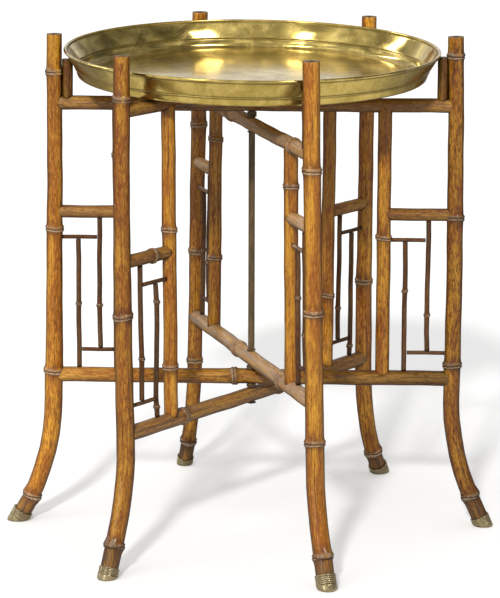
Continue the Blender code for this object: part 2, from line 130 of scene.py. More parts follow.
def section(triangles, point, normal):
    """The centre, area and reach of the solid's section by a plane; None where it misses the solid."""
    height = (triangles - point) @ normal
    above = height > 0
    crossed = above.any(axis=1) & ~above.all(axis=1)
    if crossed.sum() < 3:
        return None
    corners, height, above = triangles[crossed], height[crossed], above[crossed]
    row = np.arange(len(corners))
    lone = np.where(above.sum(axis=1) == 1, above.argmax(axis=1), (~above).argmax(axis=1))
    start, start_height = corners[row, lone], height[row, lone]

    def cut_point(other):
        share = start_height / (start_height - height[row, other])
        return start + (corners[row, other] - start) * share[:, None]

    first_end, last_end = (cut_point((lone + step) % 3) for step in (1, 2))
    sign = np.where(above[row, lone], 1.0, -1.0)
    fans = (np.cross(first_end - point, last_end - point) @ normal) * sign / 2
    area = fans.sum()
    if abs(area) < SMALLEST_AREA:
        return None
    centre = ((first_end + last_end + point) / 3 * fans[:, None]).sum(axis=0) / area
    reach = np.linalg.norm(first_end - centre, axis=1).max()
    return centre, abs(area), reach


def main_direction(points):
    return np.linalg.svd(points - points.mean(axis=0), full_matrices=False)[2][0]


def straight_path(triangles, outward):
    """The axis of a straight cane, as points at even steps from end to end."""
    corners = triangles.reshape(-1, 3)
    middle = (corners.min(axis=0) + corners.max(axis=0)) / 2
    direction = main_direction(corners)
    for _ in range(FIT_ROUNDS):
        along = (corners - middle) @ direction
        span = along.max() - along.min()
        cuts = [
            section(triangles, middle + direction * (along.min() + share * span), direction)
            for share in FIT_SHARES
        ]
        centres = np.array([cut[0] for cut in cuts if cut])
        middle = centres.mean(axis=0)
        direction = main_direction(centres)
    if direction @ outward < 0:
        direction = -direction
    along = (corners - middle) @ direction
    count = max(8, round((along.max() - along.min()) / SLICE_STEP))
    return middle + np.linspace(along.min(), along.max(), count)[:, None] * direction


def bent_path(triangles):
    """The axis of a leg, from level slices, with the last stretch inside the ferrule carried on."""
    top = triangles[..., 2].max()
    up = np.array((0.0, 0.0, 1.0))
    levels = np.arange(FOOT_LEVEL, top - MM, SLICE_STEP)
    centres = np.array([section(triangles, level * up, up)[0] for level in levels])
    foot_levels = np.arange(0, levels[0], SLICE_STEP)[:, None]
    slope, start = np.polyfit(levels[:FOOT_FIT], centres[:FOOT_FIT, :2], 1)
    foot = np.hstack((slope * foot_levels + start, foot_levels))
    rise = centres[-1] - centres[-1 - HEAD_FIT]
    head = centres[-1] + rise * (top - centres[-1][2]) / rise[2]
    return np.vstack((foot, centres, head))


def path_tangents(path):
    tangents = np.gradient(path, axis=0)
    return tangents / np.linalg.norm(tangents, axis=1)[:, None]


def path_lengths(path):
    return np.concatenate(([0.0], np.cumsum(np.linalg.norm(np.diff(path, axis=0), axis=1))))


def smoothed(values, half):
    padded = np.pad(values, half, mode="edge")
    return np.convolve(padded, np.ones(2 * half + 1) / (2 * half + 1), mode="valid")


def measured_cane(node, bent, outward):
    """A cane's path, its radius along the path and where its joints are."""
    triangles = solid_triangles(node)
    path = bent_path(triangles) if bent else straight_path(triangles, np.array(outward))
    lengths = path_lengths(path)
    tangents = path_tangents(path)
    radii = np.zeros(len(path))
    for index in range(1, len(path) - 1):
        cut = section(triangles, path[index], tangents[index])
        if cut:
            radii[index] = math.sqrt(cut[1] / math.pi)
    whole = radii > WHOLE_SHARE * np.median(radii[radii > 0])
    if bent:
        whole &= path[:, 2] > FOOT_CLEAR
    radii = np.interp(lengths, lengths[whole], radii[whole])
    base = np.full(len(radii), np.median(radii))
    if bent:
        padded = np.pad(radii, MEDIAN_HALF, mode="reflect")
        windows = np.lib.stride_tricks.sliding_window_view(padded, 2 * MEDIAN_HALF + 1)
        base = smoothed(np.median(windows, axis=1), SMOOTH_HALF)
    swollen = np.where(whole & (radii > KNUCKLE_EXCESS * base))[0]
    runs = np.split(swollen, np.where(np.diff(swollen) > KNUCKLE_GAP)[0] + 1)
    knuckles = [
        float(np.average(lengths[run], weights=radii[run] - base[run])) for run in runs if len(run)]
    return {"path": path, "lengths": lengths, "radius": base, "knuckles": knuckles}


# ---- shaping bamboo


def bell(values, middle, width):
    return np.exp(-(((values - middle) / width) ** 2))


def joint_outline(distance):
    """How far a joint stands out, as a share of the radius, by the distance in mm at UNIT_RADIUS."""
    band = 0.125 / (1 + (distance / 3.6) ** 6)
    lower_lip = 0.04 * bell(distance, -2.3, 0.8)
    groove = -0.055 * bell(distance, -0.4, 0.7)
    upper_lip = 0.035 * bell(distance, 1.9, 1.1)
    return band + lower_lip + groove + upper_lip + 0.045 * np.exp(-np.abs(distance) / 7)


def turned_frames(tangents):
    """Two directions across the path at every station, carried along without twist."""
    first = np.empty_like(tangents)
    normal = np.array((1.0, 0.0, 0.0)) if abs(tangents[0][0]) < 0.8 else np.array((0.0, 1.0, 0.0))
    for index, tangent in enumerate(tangents):
        normal = normal - tangent * (normal @ tangent)
        normal = normal / np.linalg.norm(normal)
        first[index] = normal
    return first, np.cross(tangents, first)


def angles(sides):
    return np.arange(sides) * TURN / sides


def wrapped(angle):
    return (angle + math.pi) % TURN - math.pi


def cane_stations(length, knuckles, size, step):
    """Where the rings of a cane lie: even steps, with close ones at the joints."""
    stations = list(np.arange(0.0, length, step)) + [length]
    reach = JOINT_REACH * MM * size
    for knuckle in knuckles:
        stations = [place for place in stations if abs(place - knuckle) > reach or place in (0.0, length)]
        stations += [knuckle + offset * MM * size for offset in JOINT_STATIONS]
    ordered = sorted(place for place in stations if 0.0 <= place <= length)
    kept = [ordered[0]]
    for place in ordered[1:]:
        if place - kept[-1] > CLOSEST:
            kept.append(place)
    return np.array(kept)


class CaneSkin:
    """A cane while it is shaped. Its grids have a row for every station and a column for every side.

    along is the place on the cane, shape the share of the measured radius, ring the distance from the
    nearest joint in mm at UNIT_RADIUS, and scar is 1 in the middle of a bud scar. growth is 1 or -1, for
    a cane that grew along its path or against it.
    """

    def __init__(self, name, cane, style):
        self.dice = seeded(name)
        self.cane = cane
        self.leg = style == "leg"
        self.twig = style == "twig"
        self.growth = 1 if style in ("leg", "post") or self.dice.random() < 0.5 else -1
        self.radius = float(np.median(cane["radius"]))
        self.size = TWIG_SIZE if self.twig else self.radius / UNIT_RADIUS
        self.length = float(cane["lengths"][-1])
        self.knuckles = cane["knuckles"]
        step = TWIG_STEP if self.twig else CANE_STEP
        self.stations = cane_stations(self.length, self.knuckles, self.size, step)
        if self.leg:
            self.stations = self.stations[self.stations >= LEG_START]
        self.path = self.at_stations(cane["path"])
        self.tangents = self.at_stations(path_tangents(cane["path"]))
        self.tangents /= np.linalg.norm(self.tangents, axis=1)[:, None]
        self.across, self.beside = turned_frames(self.tangents)
        self.theta = angles(TWIG_SIDES if self.twig else CANE_SIDES)
        self.along = self.stations[:, None] * np.ones(len(self.theta))
        self.shape = np.ones(self.along.shape)
        self.ring = np.full(self.along.shape, NO_JOINT)
        self.scar = np.zeros(self.along.shape)

    def at_stations(self, values):
        lengths = self.cane["lengths"]
        return np.column_stack([np.interp(self.stations, lengths, column) for column in values.T])

    def wander(self):
        """Lets the path stray slightly, but not at its ends, and kinks long twigs at their joints."""
        left = np.minimum(self.stations, self.length - self.stations)
        ease = np.clip(left / WANDER_EASE, 0, 1) ** 1.5
        for direction in (self.across, self.beside):
            stray = 0
            for wave in WANDER_WAVES:
                height = 0.16 * MM * math.sqrt(wave / 0.12)
                stray = stray + height * np.sin(TURN * (self.stations / wave + self.dice.random()))
            if self.twig and self.length > LONG_TWIG:
                for knuckle in self.knuckles:
                    lean = self.dice.uniform(-1.3, 1.3) * MM
                    stray = stray + lean * (1 - np.abs(self.stations - knuckle) / (0.6 * self.length))
            self.path = self.path + direction * (stray * ease)[:, None]

    def add_waves(self, stout):
        """Makes the cane slightly oval and wavy, and stouter in its lower part where stout is over 0."""
        self.turn = self.dice.uniform(0, TURN)
        self.shape += stout * bell(self.along, STOUT_AT, STOUT_REACH)
        self.shape += 0.012 * np.cos(2 * (self.theta - self.turn))
        for _ in range(4):
            waves, pitch = self.dice.choice((1, 2, 3)), self.dice.uniform(0.03, 0.12)
            phase = TURN * (self.along / pitch + self.dice.random())
            self.shape += 0.003 * np.sin(waves * self.theta + phase)

    def add_joint(self, index, knuckle):
        """Swells the cane at a joint, which runs round it a little askew. Most joints have a bud scar."""
        dice, size, theta = self.dice, self.size, self.theta
        swell = (TWIG_SWELL if self.twig else 1.0) * dice.uniform(0.85, 1.15)
        tilt, tilt_turn = dice.uniform(0.3, 1.1) * MM * size, dice.uniform(0, TURN)
        ripple_turn = dice.uniform(0, TURN)
        slant = tilt * np.sin(theta - tilt_turn) + 0.35 * MM * size * np.sin(2 * theta - ripple_turn)
        self.along = self.along + slant * bell(self.stations, knuckle, 13 * MM * size)[:, None]
        distance = self.growth * (self.along - slant - knuckle) / (MM * size)
        self.shape += swell * joint_outline(distance)
        for lumps in (3, 5):
            lump = np.sin(lumps * theta + dice.uniform(0, TURN))
            self.shape += 0.014 * swell * lump * bell(distance, 0, 4)
        self.ring = np.where(np.abs(distance) < np.abs(self.ring), distance, self.ring)
        around = wrapped(theta - (self.turn + math.pi * index)) * self.radius / (MM * size)
        mark = bell(distance, 3.2, 2.3) * bell(around, 0.0, 2.6) * (dice.random() < BUD_SHARE)
        self.shape += 0.1 * mark
        self.scar = np.maximum(self.scar, mark)

    def add_groove(self, index, low, high):
        """Between two joints: the groove above the bud, which fades out along the stretch, and a waist."""
        depth = self.dice.choice(GROOVE_DEPTHS)
        travelled = self.growth * (self.along - (low if self.growth > 0 else high))
        fade = np.clip((travelled - 3 * MM) / (9 * MM), 0, 1)
        fade = fade * np.clip(1.15 - travelled / (high - low), 0, 1)
        inside = (self.along >= low) & (self.along <= high)
        groove = bell(wrapped(self.theta - self.turn - math.pi * (index + 1)), 0.0, 0.36)
        self.shape -= depth * groove * fade * inside
        waist = np.sin(np.pi * np.clip((self.along - low) / (high - low), 0, 1))
        self.shape -= 0.008 * waist * inside

    def mesh(self, name):
        """The closed mesh, with what the material needs stored at its points."""
        cosine, sine = np.cos(self.theta), np.sin(self.theta)
        spokes = self.across[:, None] * cosine[:, None] + self.beside[:, None] * sine[:, None]
        reach = self.at_stations(self.cane["radius"][:, None]) * self.shape
        lift = self.along - self.stations[:, None]
        spokes = spokes * reach[..., None] + self.tangents[:, None] * lift[..., None]
        straight = stacked(reach * cosine, reach * sine, self.along)

        # every ring with its station, its share of the radius and how far beyond the station it lies
        last_end = SAWN_END if self.leg else PLAIN_END
        rows = [(0, *ring) for ring in PLAIN_END]
        rows += [(index, 1.0, 0.0) for index in range(len(self.stations))]
        rows += [(len(self.stations) - 1, *ring) for ring in last_end]
        source, share, beyond = (np.array(column) for column in zip(*rows))
        scale, beyond = share[:, None, None], beyond[:, None] * MM
        tangents = self.tangents[source]
        points = (self.path[source] + tangents * beyond)[:, None] + spokes[source] * scale
        straight = straight[source]
        straight[..., :2] *= scale
        straight[..., 2] += beyond
        cut = self.leg * (np.where(source == 0, 0.0, 1.0 - share) + CUT_STEP * (share < RIM_SHARE))
        if self.leg:
            points[-1 - len(last_end)] -= self.tangents[-1] * RIM_BEVEL
        foot_top = self.knuckles[0] if self.leg else -1.0
        foot = np.clip((foot_top - self.stations[source]) / FOOT_FADE + 0.5, 0, 1)
        joint = self.ring[source]
        offset = np.array([self.dice.uniform(0, 40) for _ in range(3)])
        return ring_mesh(name, points, {
            "cane_co": straight + offset,
            "joint": joint,
            "near": np.clip((JOINT_FAR - np.abs(joint)) / JOINT_FADE, 0, 1),
            "axis": tangents[:, None],
            "foot": foot[:, None],
            "share": straight[..., 2] / self.length,
            "scar": self.scar[source],
            "cut": cut[:, None],
        })


def cane_mesh(node, cane, style):
    """The mesh of one cane: rings along a slightly wandering path, with joints, grooves and bud scars."""
    name = node + "_bamboo"
    skin = CaneSkin(name, cane, style)
    skin.wander()
    skin.add_waves(STOUT.get(node, 0.0))
    for index, knuckle in enumerate(skin.knuckles):
        skin.add_joint(index, knuckle)
    edges = [0.0] + skin.knuckles + [skin.length]
    for index, (low, high) in enumerate(zip(edges, edges[1:])):
        if high - low >= SHORT_STRETCH and not skin.twig:
            skin.add_groove(index, low, high)
    return skin.mesh(name)


def stacked(*columns):
    return np.stack(np.broadcast_arrays(*columns), axis=-1)


def ring_mesh(name, points, attributes):
    """A closed mesh over rings of points, capped at both ends, with numbers or vectors stored at them."""
    count, sides = points.shape[:2]
    here = np.arange(count * sides).reshape(count, sides)
    after = np.roll(here, -1, axis=1)
    quads = np.stack((here[:-1], after[:-1], after[1:], here[1:]), axis=-1).reshape(-1, 4)
    faces = quads.tolist() + [here[0, ::-1].tolist(), here[-1].tolist()]
    mesh = bpy.data.meshes.new(name)
    mesh.from_pydata(points.reshape(-1, 3).tolist(), [], faces)
    for key, values in attributes.items():
        vectors = values.ndim == 3
        values = np.broadcast_to(values, points.shape if vectors else points.shape[:2])
        attribute = mesh.attributes.new(key, "FLOAT_VECTOR" if vectors else "FLOAT", "POINT")
        attribute.data.foreach_set("vector" if vectors else "value", values.astype(np.float32).ravel())
    mesh.shade_smooth()
    mesh.update()
    return mesh


def placed(name, data):
    thing = bpy.data.objects.new(name, data)
    bpy.context.scene.collection.objects.link(thing)
    return thing


def add_piece(mesh, body, node, slot, looks=None):
    """A piece of the mesh's name, which rides on the body and stands for the CAD node."""
    piece = placed(mesh.name, mesh)
    mesh.materials.append(MATERIALS[slot])
    for key, value in (looks or {}).items():
        piece[key] = value
    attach(piece, body)
    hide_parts(node)


# ---- materials


class Shader:
    """Builds a material's or the world's node tree in a few words."""

    def __init__(self, owner):
        owner.use_nodes = True
        self.owner = owner
        self.tree = owner.node_tree
        self.tree.nodes.clear()

    def node(self, kind, inputs=None, **settings):
        node = self.tree.nodes.new("ShaderNode" + kind)
        for key, value in settings.items():
            setattr(node, key, value)
        for key, value in (inputs or {}).items():
            self.feed(node.inputs[key], value)
        return node

    def add(self, kind, inputs=None, output=0, **settings):
        return self.node(kind, inputs, **settings).outputs[output]

    def feed(self, socket, value):
        if isinstance(value, bpy.types.NodeSocket):
            self.tree.links.new(value, socket)
        elif socket.type == "RGBA" and len(value) == 3:
            socket.default_value = (*value, 1.0)
        else:
            socket.default_value = value

    def math(self, operation, first, second=0.0):
        return self.add("Math", {0: first, 1: second}, operation=operation)

    def product(self, *factors):
        return reduce(partial(self.math, "MULTIPLY"), factors)

    def sum(self, *terms):
        return reduce(partial(self.math, "ADD"), terms)

    def inverse(self, value):
        return self.math("SUBTRACT", 1.0, value)

    def vector_math(self, operation, vector, other, output):
        return self.add("VectorMath", {0: vector, 1: other}, output, operation=operation)

    def dot(self, vector, direction):
        return self.vector_math("DOT_PRODUCT", vector, direction, "Value")

    def noise(self, vector, scale, detail=2.0, roughness=0.5, distortion=0.0):
        """Scale is a number, or a tuple where it differs between the axes."""
        if isinstance(scale, tuple):
            vector, scale = self.vector_math("MULTIPLY", vector, scale, "Vector"), 1.0
        return self.add("TexNoise", {
            "Vector": vector, "Scale": scale, "Detail": detail, "Roughness": roughness,
            "Distortion": distortion})

    def ramp(self, value, low, high, out_low=0.0, out_high=1.0):
        """Smoothly maps low..high to out_low..out_high."""
        return self.add("MapRange", {
            "Value": value, "From Min": low, "From Max": high, "To Min": out_low, "To Max": out_high},
            interpolation_type="SMOOTHSTEP")

    def band(self, value, middle, half, soft):
        """1 within half of middle, falling to 0 over soft."""
        gap = self.math("ABSOLUTE", self.math("SUBTRACT", value, middle))
        return self.ramp(gap, half, half + soft, 1.0, 0.0)

    def mix(self, share, first, second, blend="MIX"):
        """For colours: the node's inputs 0, 6 and 7 and its output 2."""
        return self.add("Mix", {0: share, 6: first, 7: second}, 2, data_type="RGBA", blend_type=blend)

    def laid(self, colour, over, *shares):
        """The colour with another one laid over it, as strongly as the product of the shares."""
        return self.mix(self.product(*shares), colour, over)

    def edge_on(self, axis):
        """0 along the middle of a cane as it is seen, 1 at its two edges."""
        seen = self.node("NewGeometry").outputs
        turned = self.add("VectorTransform", {"Vector": axis}, convert_from="OBJECT", convert_to="WORLD")
        along = self.dot(turned, seen["Incoming"])
        across = self.math("SQRT", self.math("SUBTRACT", 1.0001, self.product(along, along)))
        middle = self.math("DIVIDE", self.dot(seen["Normal"], seen["Incoming"]), across)
        return self.ramp(middle, 0.88, 0.14)

    def stored(self, name, kind="GEOMETRY", output="Fac"):
        return self.add("Attribute", None, output, attribute_name=name, attribute_type=kind)

    def vector(self, name):
        return self.stored(name, output="Vector")

    def bump(self, height, strength, distance):
        return self.add("Bump", {"Height": height, "Strength": strength, "Distance": distance})

    def finish(self, shader, kind="OutputMaterial"):
        self.node(kind, {"Surface": shader})

    def principled(self, inputs):
        self.finish(self.add("BsdfPrincipled", inputs))
        return self.owner


# The noises on a cane: (scale across and along it, detail, roughness, distortion)
CANE_NOISES = (
    ((75, 75, 7), 2, 0.45),
    ((330, 330, 8), 3, 0.55, 0.3),
    ((120, 120, 30), 4, 0.6, 0.6),
    ((640, 640, 110), 3, 0.62, 0.5),
    ((900, 900, 260), 2, 0.6),
    ((1300, 1300, 20), 3, 0.6),
)

RUSSET = (0.27, 0.06, 0.008)
UMBER = (0.045, 0.016, 0.005)
GRIME_AND_SHADE = (0.02, 0.01, 0.005)
BLEACHED, BLEACHED_GREY = (0.6, 0.42, 0.26), (0.33, 0.235, 0.165)
MUD, DARK_MUD = (0.15, 0.08, 0.03), (0.075, 0.045, 0.022)
SCORCHED = (0.12, 0.036, 0.008)
# the pale joint lips: wear with a painted highlight
LOWER_LIP, UPPER_LIP = (0.46, 0.35, 0.235), (0.36, 0.27, 0.175)
JOINT_LINE = (0.032, 0.015, 0.007)
BUD_SCAR = (0.25, 0.18, 0.115)
SAWN_PALE, SAWN_DARK, SAWN_CORE = (0.27, 0.22, 0.165), (0.1, 0.075, 0.055), (0.06, 0.038, 0.025)


def joint_colours(s, colour, clouds, marks, fibres):
    """The joints: scorched above and below, with two pale lips, worn and with a painted highlight, and a
    dark line between them.
    """
    joint = s.stored("joint")
    near = s.stored("near")
    ragged = s.sum(joint, s.product(s.math("SUBTRACT", marks, 0.5), 3.0))
    for over, strength, place, band, noise, noise_range in (
            (SCORCHED, 0.65, joint, (0.0, 4.0, 13.0), clouds, (0.36, 0.56)),
            (LOWER_LIP, 0.8, ragged, (-2.2, 0.7, 0.9), fibres, (0.36, 0.52)),
            (UPPER_LIP, 0.72, ragged, (1.9, 0.9, 1.3), marks, (0.4, 0.56)),
            (JOINT_LINE, 0.85, ragged, (-0.4, 0.25, 0.7), clouds, (0.3, 0.46))):
        colour = s.laid(colour, over, near, s.band(place, *band), s.ramp(noise, *noise_range), strength)
    return s.laid(colour, BUD_SCAR, s.ramp(s.stored("scar"), 0.25, 0.7), 0.7)


def bamboo_material(name, light, middle, dark, gloss, coat):
    """Varnished old bamboo. Each piece's own tone, redness, paleness and mottling come from the object."""
    s = Shader(bpy.data.materials.new(name))
    co = s.vector("cane_co")
    tone, red, pale, mottle, drift = (s.stored(key, "OBJECT") for key in LOOK_KEYS)
    sides, stripes, clouds, marks, flecks, fibres = (s.noise(co, *noise) for noise in CANE_NOISES)

    # golden on one side and browner on the other, with streaks, red-brown patches and dark flecks
    colour = s.mix(s.ramp(sides, 0.4, 0.6), light, middle)
    colour = s.laid(colour, middle, s.ramp(stripes, 0.46, 0.64), 0.65)
    colour = s.laid(colour, RUSSET, s.ramp(clouds, 0.46, 0.64), red)
    colour = s.laid(colour, tuple(1.25 * c for c in light), s.ramp(marks, 0.47, 0.37), 0.45)
    broken = s.sum(s.product(marks, 0.78), s.product(clouds, 0.22))
    colour = s.laid(colour, dark, s.ramp(broken, 0.49, 0.61), mottle, 0.9)
    colour = s.laid(colour, UMBER, s.ramp(flecks, 0.59, 0.68), mottle)
    colour = s.laid(colour, dark, s.ramp(fibres, 0.48, 0.7), 0.45)
    colour = s.laid(colour, UMBER, s.ramp(stripes, 0.6, 0.66), 0.55)

    # bleached rails: beige where the varnish has worn away, in long streaks
    bleached = s.mix(s.ramp(stripes, 0.38, 0.62), BLEACHED, BLEACHED_GREY)
    worn = s.ramp(s.sum(s.product(clouds, 0.5), s.product(stripes, 0.5)), 0.44, 0.54)
    colour = s.laid(colour, bleached, pale, s.sum(s.product(worn, 0.75), 0.25))

    # the foot, below the lowest joint, is stained dark
    muddy = s.mix(s.ramp(stripes, 0.4, 0.6), MUD, DARK_MUD)
    colour = s.laid(colour, muddy, s.stored("foot"), s.ramp(clouds, 0.3, 0.55, 0.45, 0.85))

    colour = joint_colours(s, colour, clouds, marks, fibres)

    # painted shade: darker towards a cane's edges as it is seen, and grime with painted shade in the
    # corners where canes meet
    edge_on = s.edge_on(s.vector("axis"))
    colour = s.laid(colour, UMBER, edge_on, 0.8, s.inverse(s.product(pale, 0.35)))
    shade = s.add("AmbientOcclusion", {"Distance": 13 * MM}, "AO", samples=6)
    colour = s.laid(colour, GRIME_AND_SHADE, s.ramp(shade, 0.8, 0.35), 0.88)

    # the piece's tone, which may drift from end to end
    tone = s.sum(tone, s.product(s.math("SUBTRACT", s.stored("share"), 0.5), drift))
    grey = s.add("CombineColor", {"Red": tone, "Green": tone, "Blue": tone})
    colour = s.mix(1.0, colour, grey, "MULTIPLY")

    # painted shade in reflections: seen mirrored in the tray, the canes are darkened, standing for their
    # unlit inner sides
    colour = s.laid(colour, UMBER, s.add("LightPath", output="Is Glossy Ray"), 0.6)

    # a cut end: a grey weathered wall, darker towards the middle
    cut = s.stored("cut")
    wall = s.mix(s.ramp(flecks, 0.35, 0.65), SAWN_PALE, SAWN_DARK)
    sawn = s.ramp(cut, 0.02, 0.14)
    colour = s.laid(colour, s.laid(wall, SAWN_CORE, s.ramp(cut, 0.5, 0.8)), sawn)

    height = s.sum(s.product(fibres, 0.5), s.product(stripes, 0.9), s.product(clouds, 0.5))
    rough = s.ramp(clouds, 0.3, 0.7, gloss - 0.05, gloss + 0.16)
    varnish = s.product(
        s.inverse(sawn), s.inverse(s.product(pale, 0.8)), coat, s.inverse(s.product(edge_on, 0.85)))
    return s.principled({
        "Base Color": colour, "Roughness": s.sum(rough, s.product(s.sum(pale, sawn), 0.25)),
        "Normal": s.bump(height, 0.35, 0.35 * MM), "Specular IOR Level": 0.12,
        "Coat Weight": varnish, "Coat Roughness": 0.11, "Coat Normal": s.bump(clouds, 0.12, 0.5 * MM)})


def polished_brass():
    """Old polished brass: olive and yellow areas, turning marks, faint smears and a few dull spots."""
    s = Shader(bpy.data.materials.new("polished_brass"))
    co = s.vector("sheet_co")
    outside = s.stored("outside")
    flat = s.stored("flat")
    crease = s.stored("crease")
    swirl = s.noise(s.vector("tray_co"), (3.0, 900, 900), 3, 0.6)
    smears = s.noise(co, (46, 46, 36), 4, 0.6, 0.6)
    spots = s.noise(co, (260, 260, 210), 3, 0.65)
    tarnish = s.noise(co, (19, 19, 32), 4, 0.62, 0.8)
    colour = s.mix(s.ramp(smears, 0.4, 0.6), (0.88, 0.66, 0.19), (0.68, 0.5, 0.12))
    dulled = s.math("SUBTRACT", 0.85, s.sum(s.product(outside, 0.5), s.product(flat, 0.48)))
    colour = s.laid(colour, (0.45, 0.32, 0.062), s.ramp(tarnish, 0.47, 0.61), dulled)
    colour = s.laid(colour, (0.3, 0.2, 0.06), s.ramp(spots, 0.58, 0.72), 0.5)
    colour = s.laid(colour, (0.085, 0.06, 0.028), crease, 0.85)
    rough = s.sum(s.ramp(smears, 0.3, 0.7, 0.06, 0.15), s.product(crease, 0.3),
                  s.product(flat, 0.07), s.product(outside, 0.13))
    height = s.sum(s.product(swirl, 0.6), s.product(spots, 0.4))
    lacquer = s.product(s.math("SUBTRACT", 0.65, s.product(outside, 0.4)), s.inverse(crease))
    return s.principled({
        "Base Color": colour, "Metallic": 1.0, "Roughness": rough,
        "Normal": s.bump(height, 0.1, 0.05 * MM),
        "Coat Weight": lacquer, "Coat Roughness": 0.1, "Coat IOR": 1.6})


def old_brass():
    """Dull antique brass: dark in the grooves and rubbed bright on the ribs."""
    s = Shader(bpy.data.materials.new("old_brass"))
    co = s.vector("cane_co")
    crease = s.stored("crease")
    clouds = s.noise(co, (230, 230, 230), 4, 0.65)
    flecks = s.noise(co, (900, 900, 900))
    colour = s.mix(s.ramp(clouds, 0.35, 0.65), (0.56, 0.455, 0.255), (0.41, 0.33, 0.19))
    colour = s.laid(colour, (0.12, 0.095, 0.055), s.ramp(flecks, 0.58, 0.7), 0.5)
    colour = s.laid(colour, (0.045, 0.034, 0.022), crease, 0.85)
    rough = s.sum(s.ramp(clouds, 0.3, 0.7, 0.2, 0.34), s.product(crease, 0.25))
    return s.principled({
        "Base Color": colour, "Metallic": 0.9, "Roughness": rough,
        "Normal": s.bump(s.sum(clouds, flecks), 0.1, 0.12 * MM)})


def dark_iron():
    """The rod: iron gone brown-green under old varnish."""
    s = Shader(bpy.data.materials.new("dark_iron"))
    co = s.vector("cane_co")
    clouds = s.noise(co, (210, 210, 60), 5, 0.6)
    flecks = s.noise(co, (700, 700, 300), 3)
    colour = s.mix(s.ramp(clouds, 0.35, 0.65), (0.15, 0.095, 0.04), (0.08, 0.054, 0.026))
    colour = s.laid(colour, (0.2, 0.125, 0.055), s.ramp(flecks, 0.55, 0.7), 0.5)
    return s.principled({
        "Base Color": colour, "Metallic": 0.1, "Roughness": s.ramp(clouds, 0.3, 0.7, 0.38, 0.55),
        "Normal": s.bump(s.sum(clouds, flecks), 0.25, 0.2 * MM)})


# ---- the table's pieces

BODY_OF_END = {
    "right": "middle_frame", "left": "middle_frame",
    "back_left": "inner_frame", "front_right": "inner_frame",
    "back_right": "outer_frame", "front_left": "outer_frame",
}
ENDS_WITH_REST = ("left", "right", "back_left", "front_right")

# drift is how much brighter the far end is than the near one
LOOK_KEYS = ("tone", "red", "pale", "mottle", "drift")
PLAIN = (1.0, 0.45, 0.0, 0.55, 0.0)
LOOKS = {
    "front_right_leg": (1.03, 0.46, 0.0, 0.4, 0.34),
    "front_left_leg": (0.86, 0.75, 0.0, 0.62, 0.12),
    "left_leg": (1.17, 0.35, 0.0, 0.64, -0.4),
    "right_leg": (0.74, 0.6, 0.0, 1.00, 0.16),
    "back_left_leg": (1.07, 0.4, 0.0, 0.8, 0.0),
    "back_right_leg": (1.32, 0.72, 0.0, 0.7, 0.0),
    "front_left_inner_post": (1.08, 0.35, 0.0, 0.45, 0.0),
    "right_inner_post": (1.00, 0.72, 0.0, 0.7, 0.1),
    "left_inner_post": (0.95, 0.5, 0.0, 0.6, 0.0),
    "back_left_inner_post": (1.1, 0.35, 0.0, 0.75, 0.0),
    # painted light: this post is brightened towards its lower end, which lies in the tray's shade
    "back_right_inner_post": (1.25, 0.46, 0.0, 0.42, -0.8),
    "front_right_inner_post": (1.05, 0.4, 0.0, 0.45, 0.0),
    # painted light: this rail's tone is raised where the tray shades it
    "inner_top_rail": (1.25, 0.1, 0.88, 0.5, 0.0),
    "inner_lower_rail": (1.12, 0.3, 0.9, 0.35, 0.0),
    "middle_top_rail": (0.86, 0.55, 0.18, 0.78, 0.05),
    "middle_lower_rail": (0.86, 0.5, 0.0, 0.6, -1.00),
    "outer_top_rail": (0.75, 0.6, 0.1, 0.7, 0.0),
    "outer_lower_rail": (0.9, 0.5, 0.25, 0.7, 0.0),
    "back_left_mid_rail": (1.6, 0.2, 0.85, 0.5, 0.0),
    "right_mid_rail": (0.76, 0.6, 0.1, 0.9, 0.0),
    "back_right_mid_rail": (1.15, 0.8, 0.08, 0.55, 0.0),
    "front_right_mid_rail": (1.35, 0.2, 0.85, 0.6, 0.0),
    "back_left_fret_top_twig": (1.3, 0.1, 0.8, 0.5, 0.0),
    "front_right_fret_top_twig": (1.1, 0.1, 0.8, 0.5, 0.0),
}
KINDS = {  # a kind of cane's shape, material slot and usual looks
    "leg": ("leg", "bamboo_leg", PLAIN),
    "post": ("post", "bamboo_leg", PLAIN),
    "rest": ("post", "bamboo_leg", (0.42, 0.4, 0.0, 0.7, 0.0)),
    "rail": ("rail", "bamboo_rail", PLAIN),
    "mid_rail": ("rail", "bamboo_rail", (0.8, 0.55, 0.15, 0.55, 0.0)),
    "twig": ("twig", "bamboo_twig", (1.0, 0.3, 0.0, 0.5, 0.0)),
}


def make_cane(node, body, kind, outward=(0.03, 0.02, 1.0)):
    """Replaces a node's cane. A straight one's path runs to the side that outward points to."""
    style, slot, usual = KINDS[kind]
    cane = measured_cane(node, kind == "leg", outward)
    looks = dict(zip(LOOK_KEYS, LOOKS.get(node, usual)))
    looks["tone"] *= seeded(node + " tone").uniform(0.97, 1.03)
    add_piece(cane_mesh(node, cane, style), body, node, slot, looks)
    return cane


FERRULE_RIBS = 4
FERRULE_WALL = 2.2 * MM
FERRULE_FIT = 0.975  # the outline's radius, as a share of the CAD cup's reach at most
FERRULE_TOE = 3 * MM  # the rounding where it meets the floor
FERRULE_TALL = {"front_right": 4 * MM}  # this one reaches higher up the leg than the rest
FERRULE_RIB_SHARES = (0.34, 0.88)  # the ribbed band, as shares of the ferrule's height
FERRULE_RIB = (  # a groove and the rib above it: (share of the pitch, rise in mm, crease)
    (-0.14, -0.02, 0.5), (0, -0.55, 1.0), (0.14, -0.02, 0.5), (0.3, 0.16, 0.0), (0.52, 0.22, 0.0),
    (0.74, 0.14, 0.0),
)


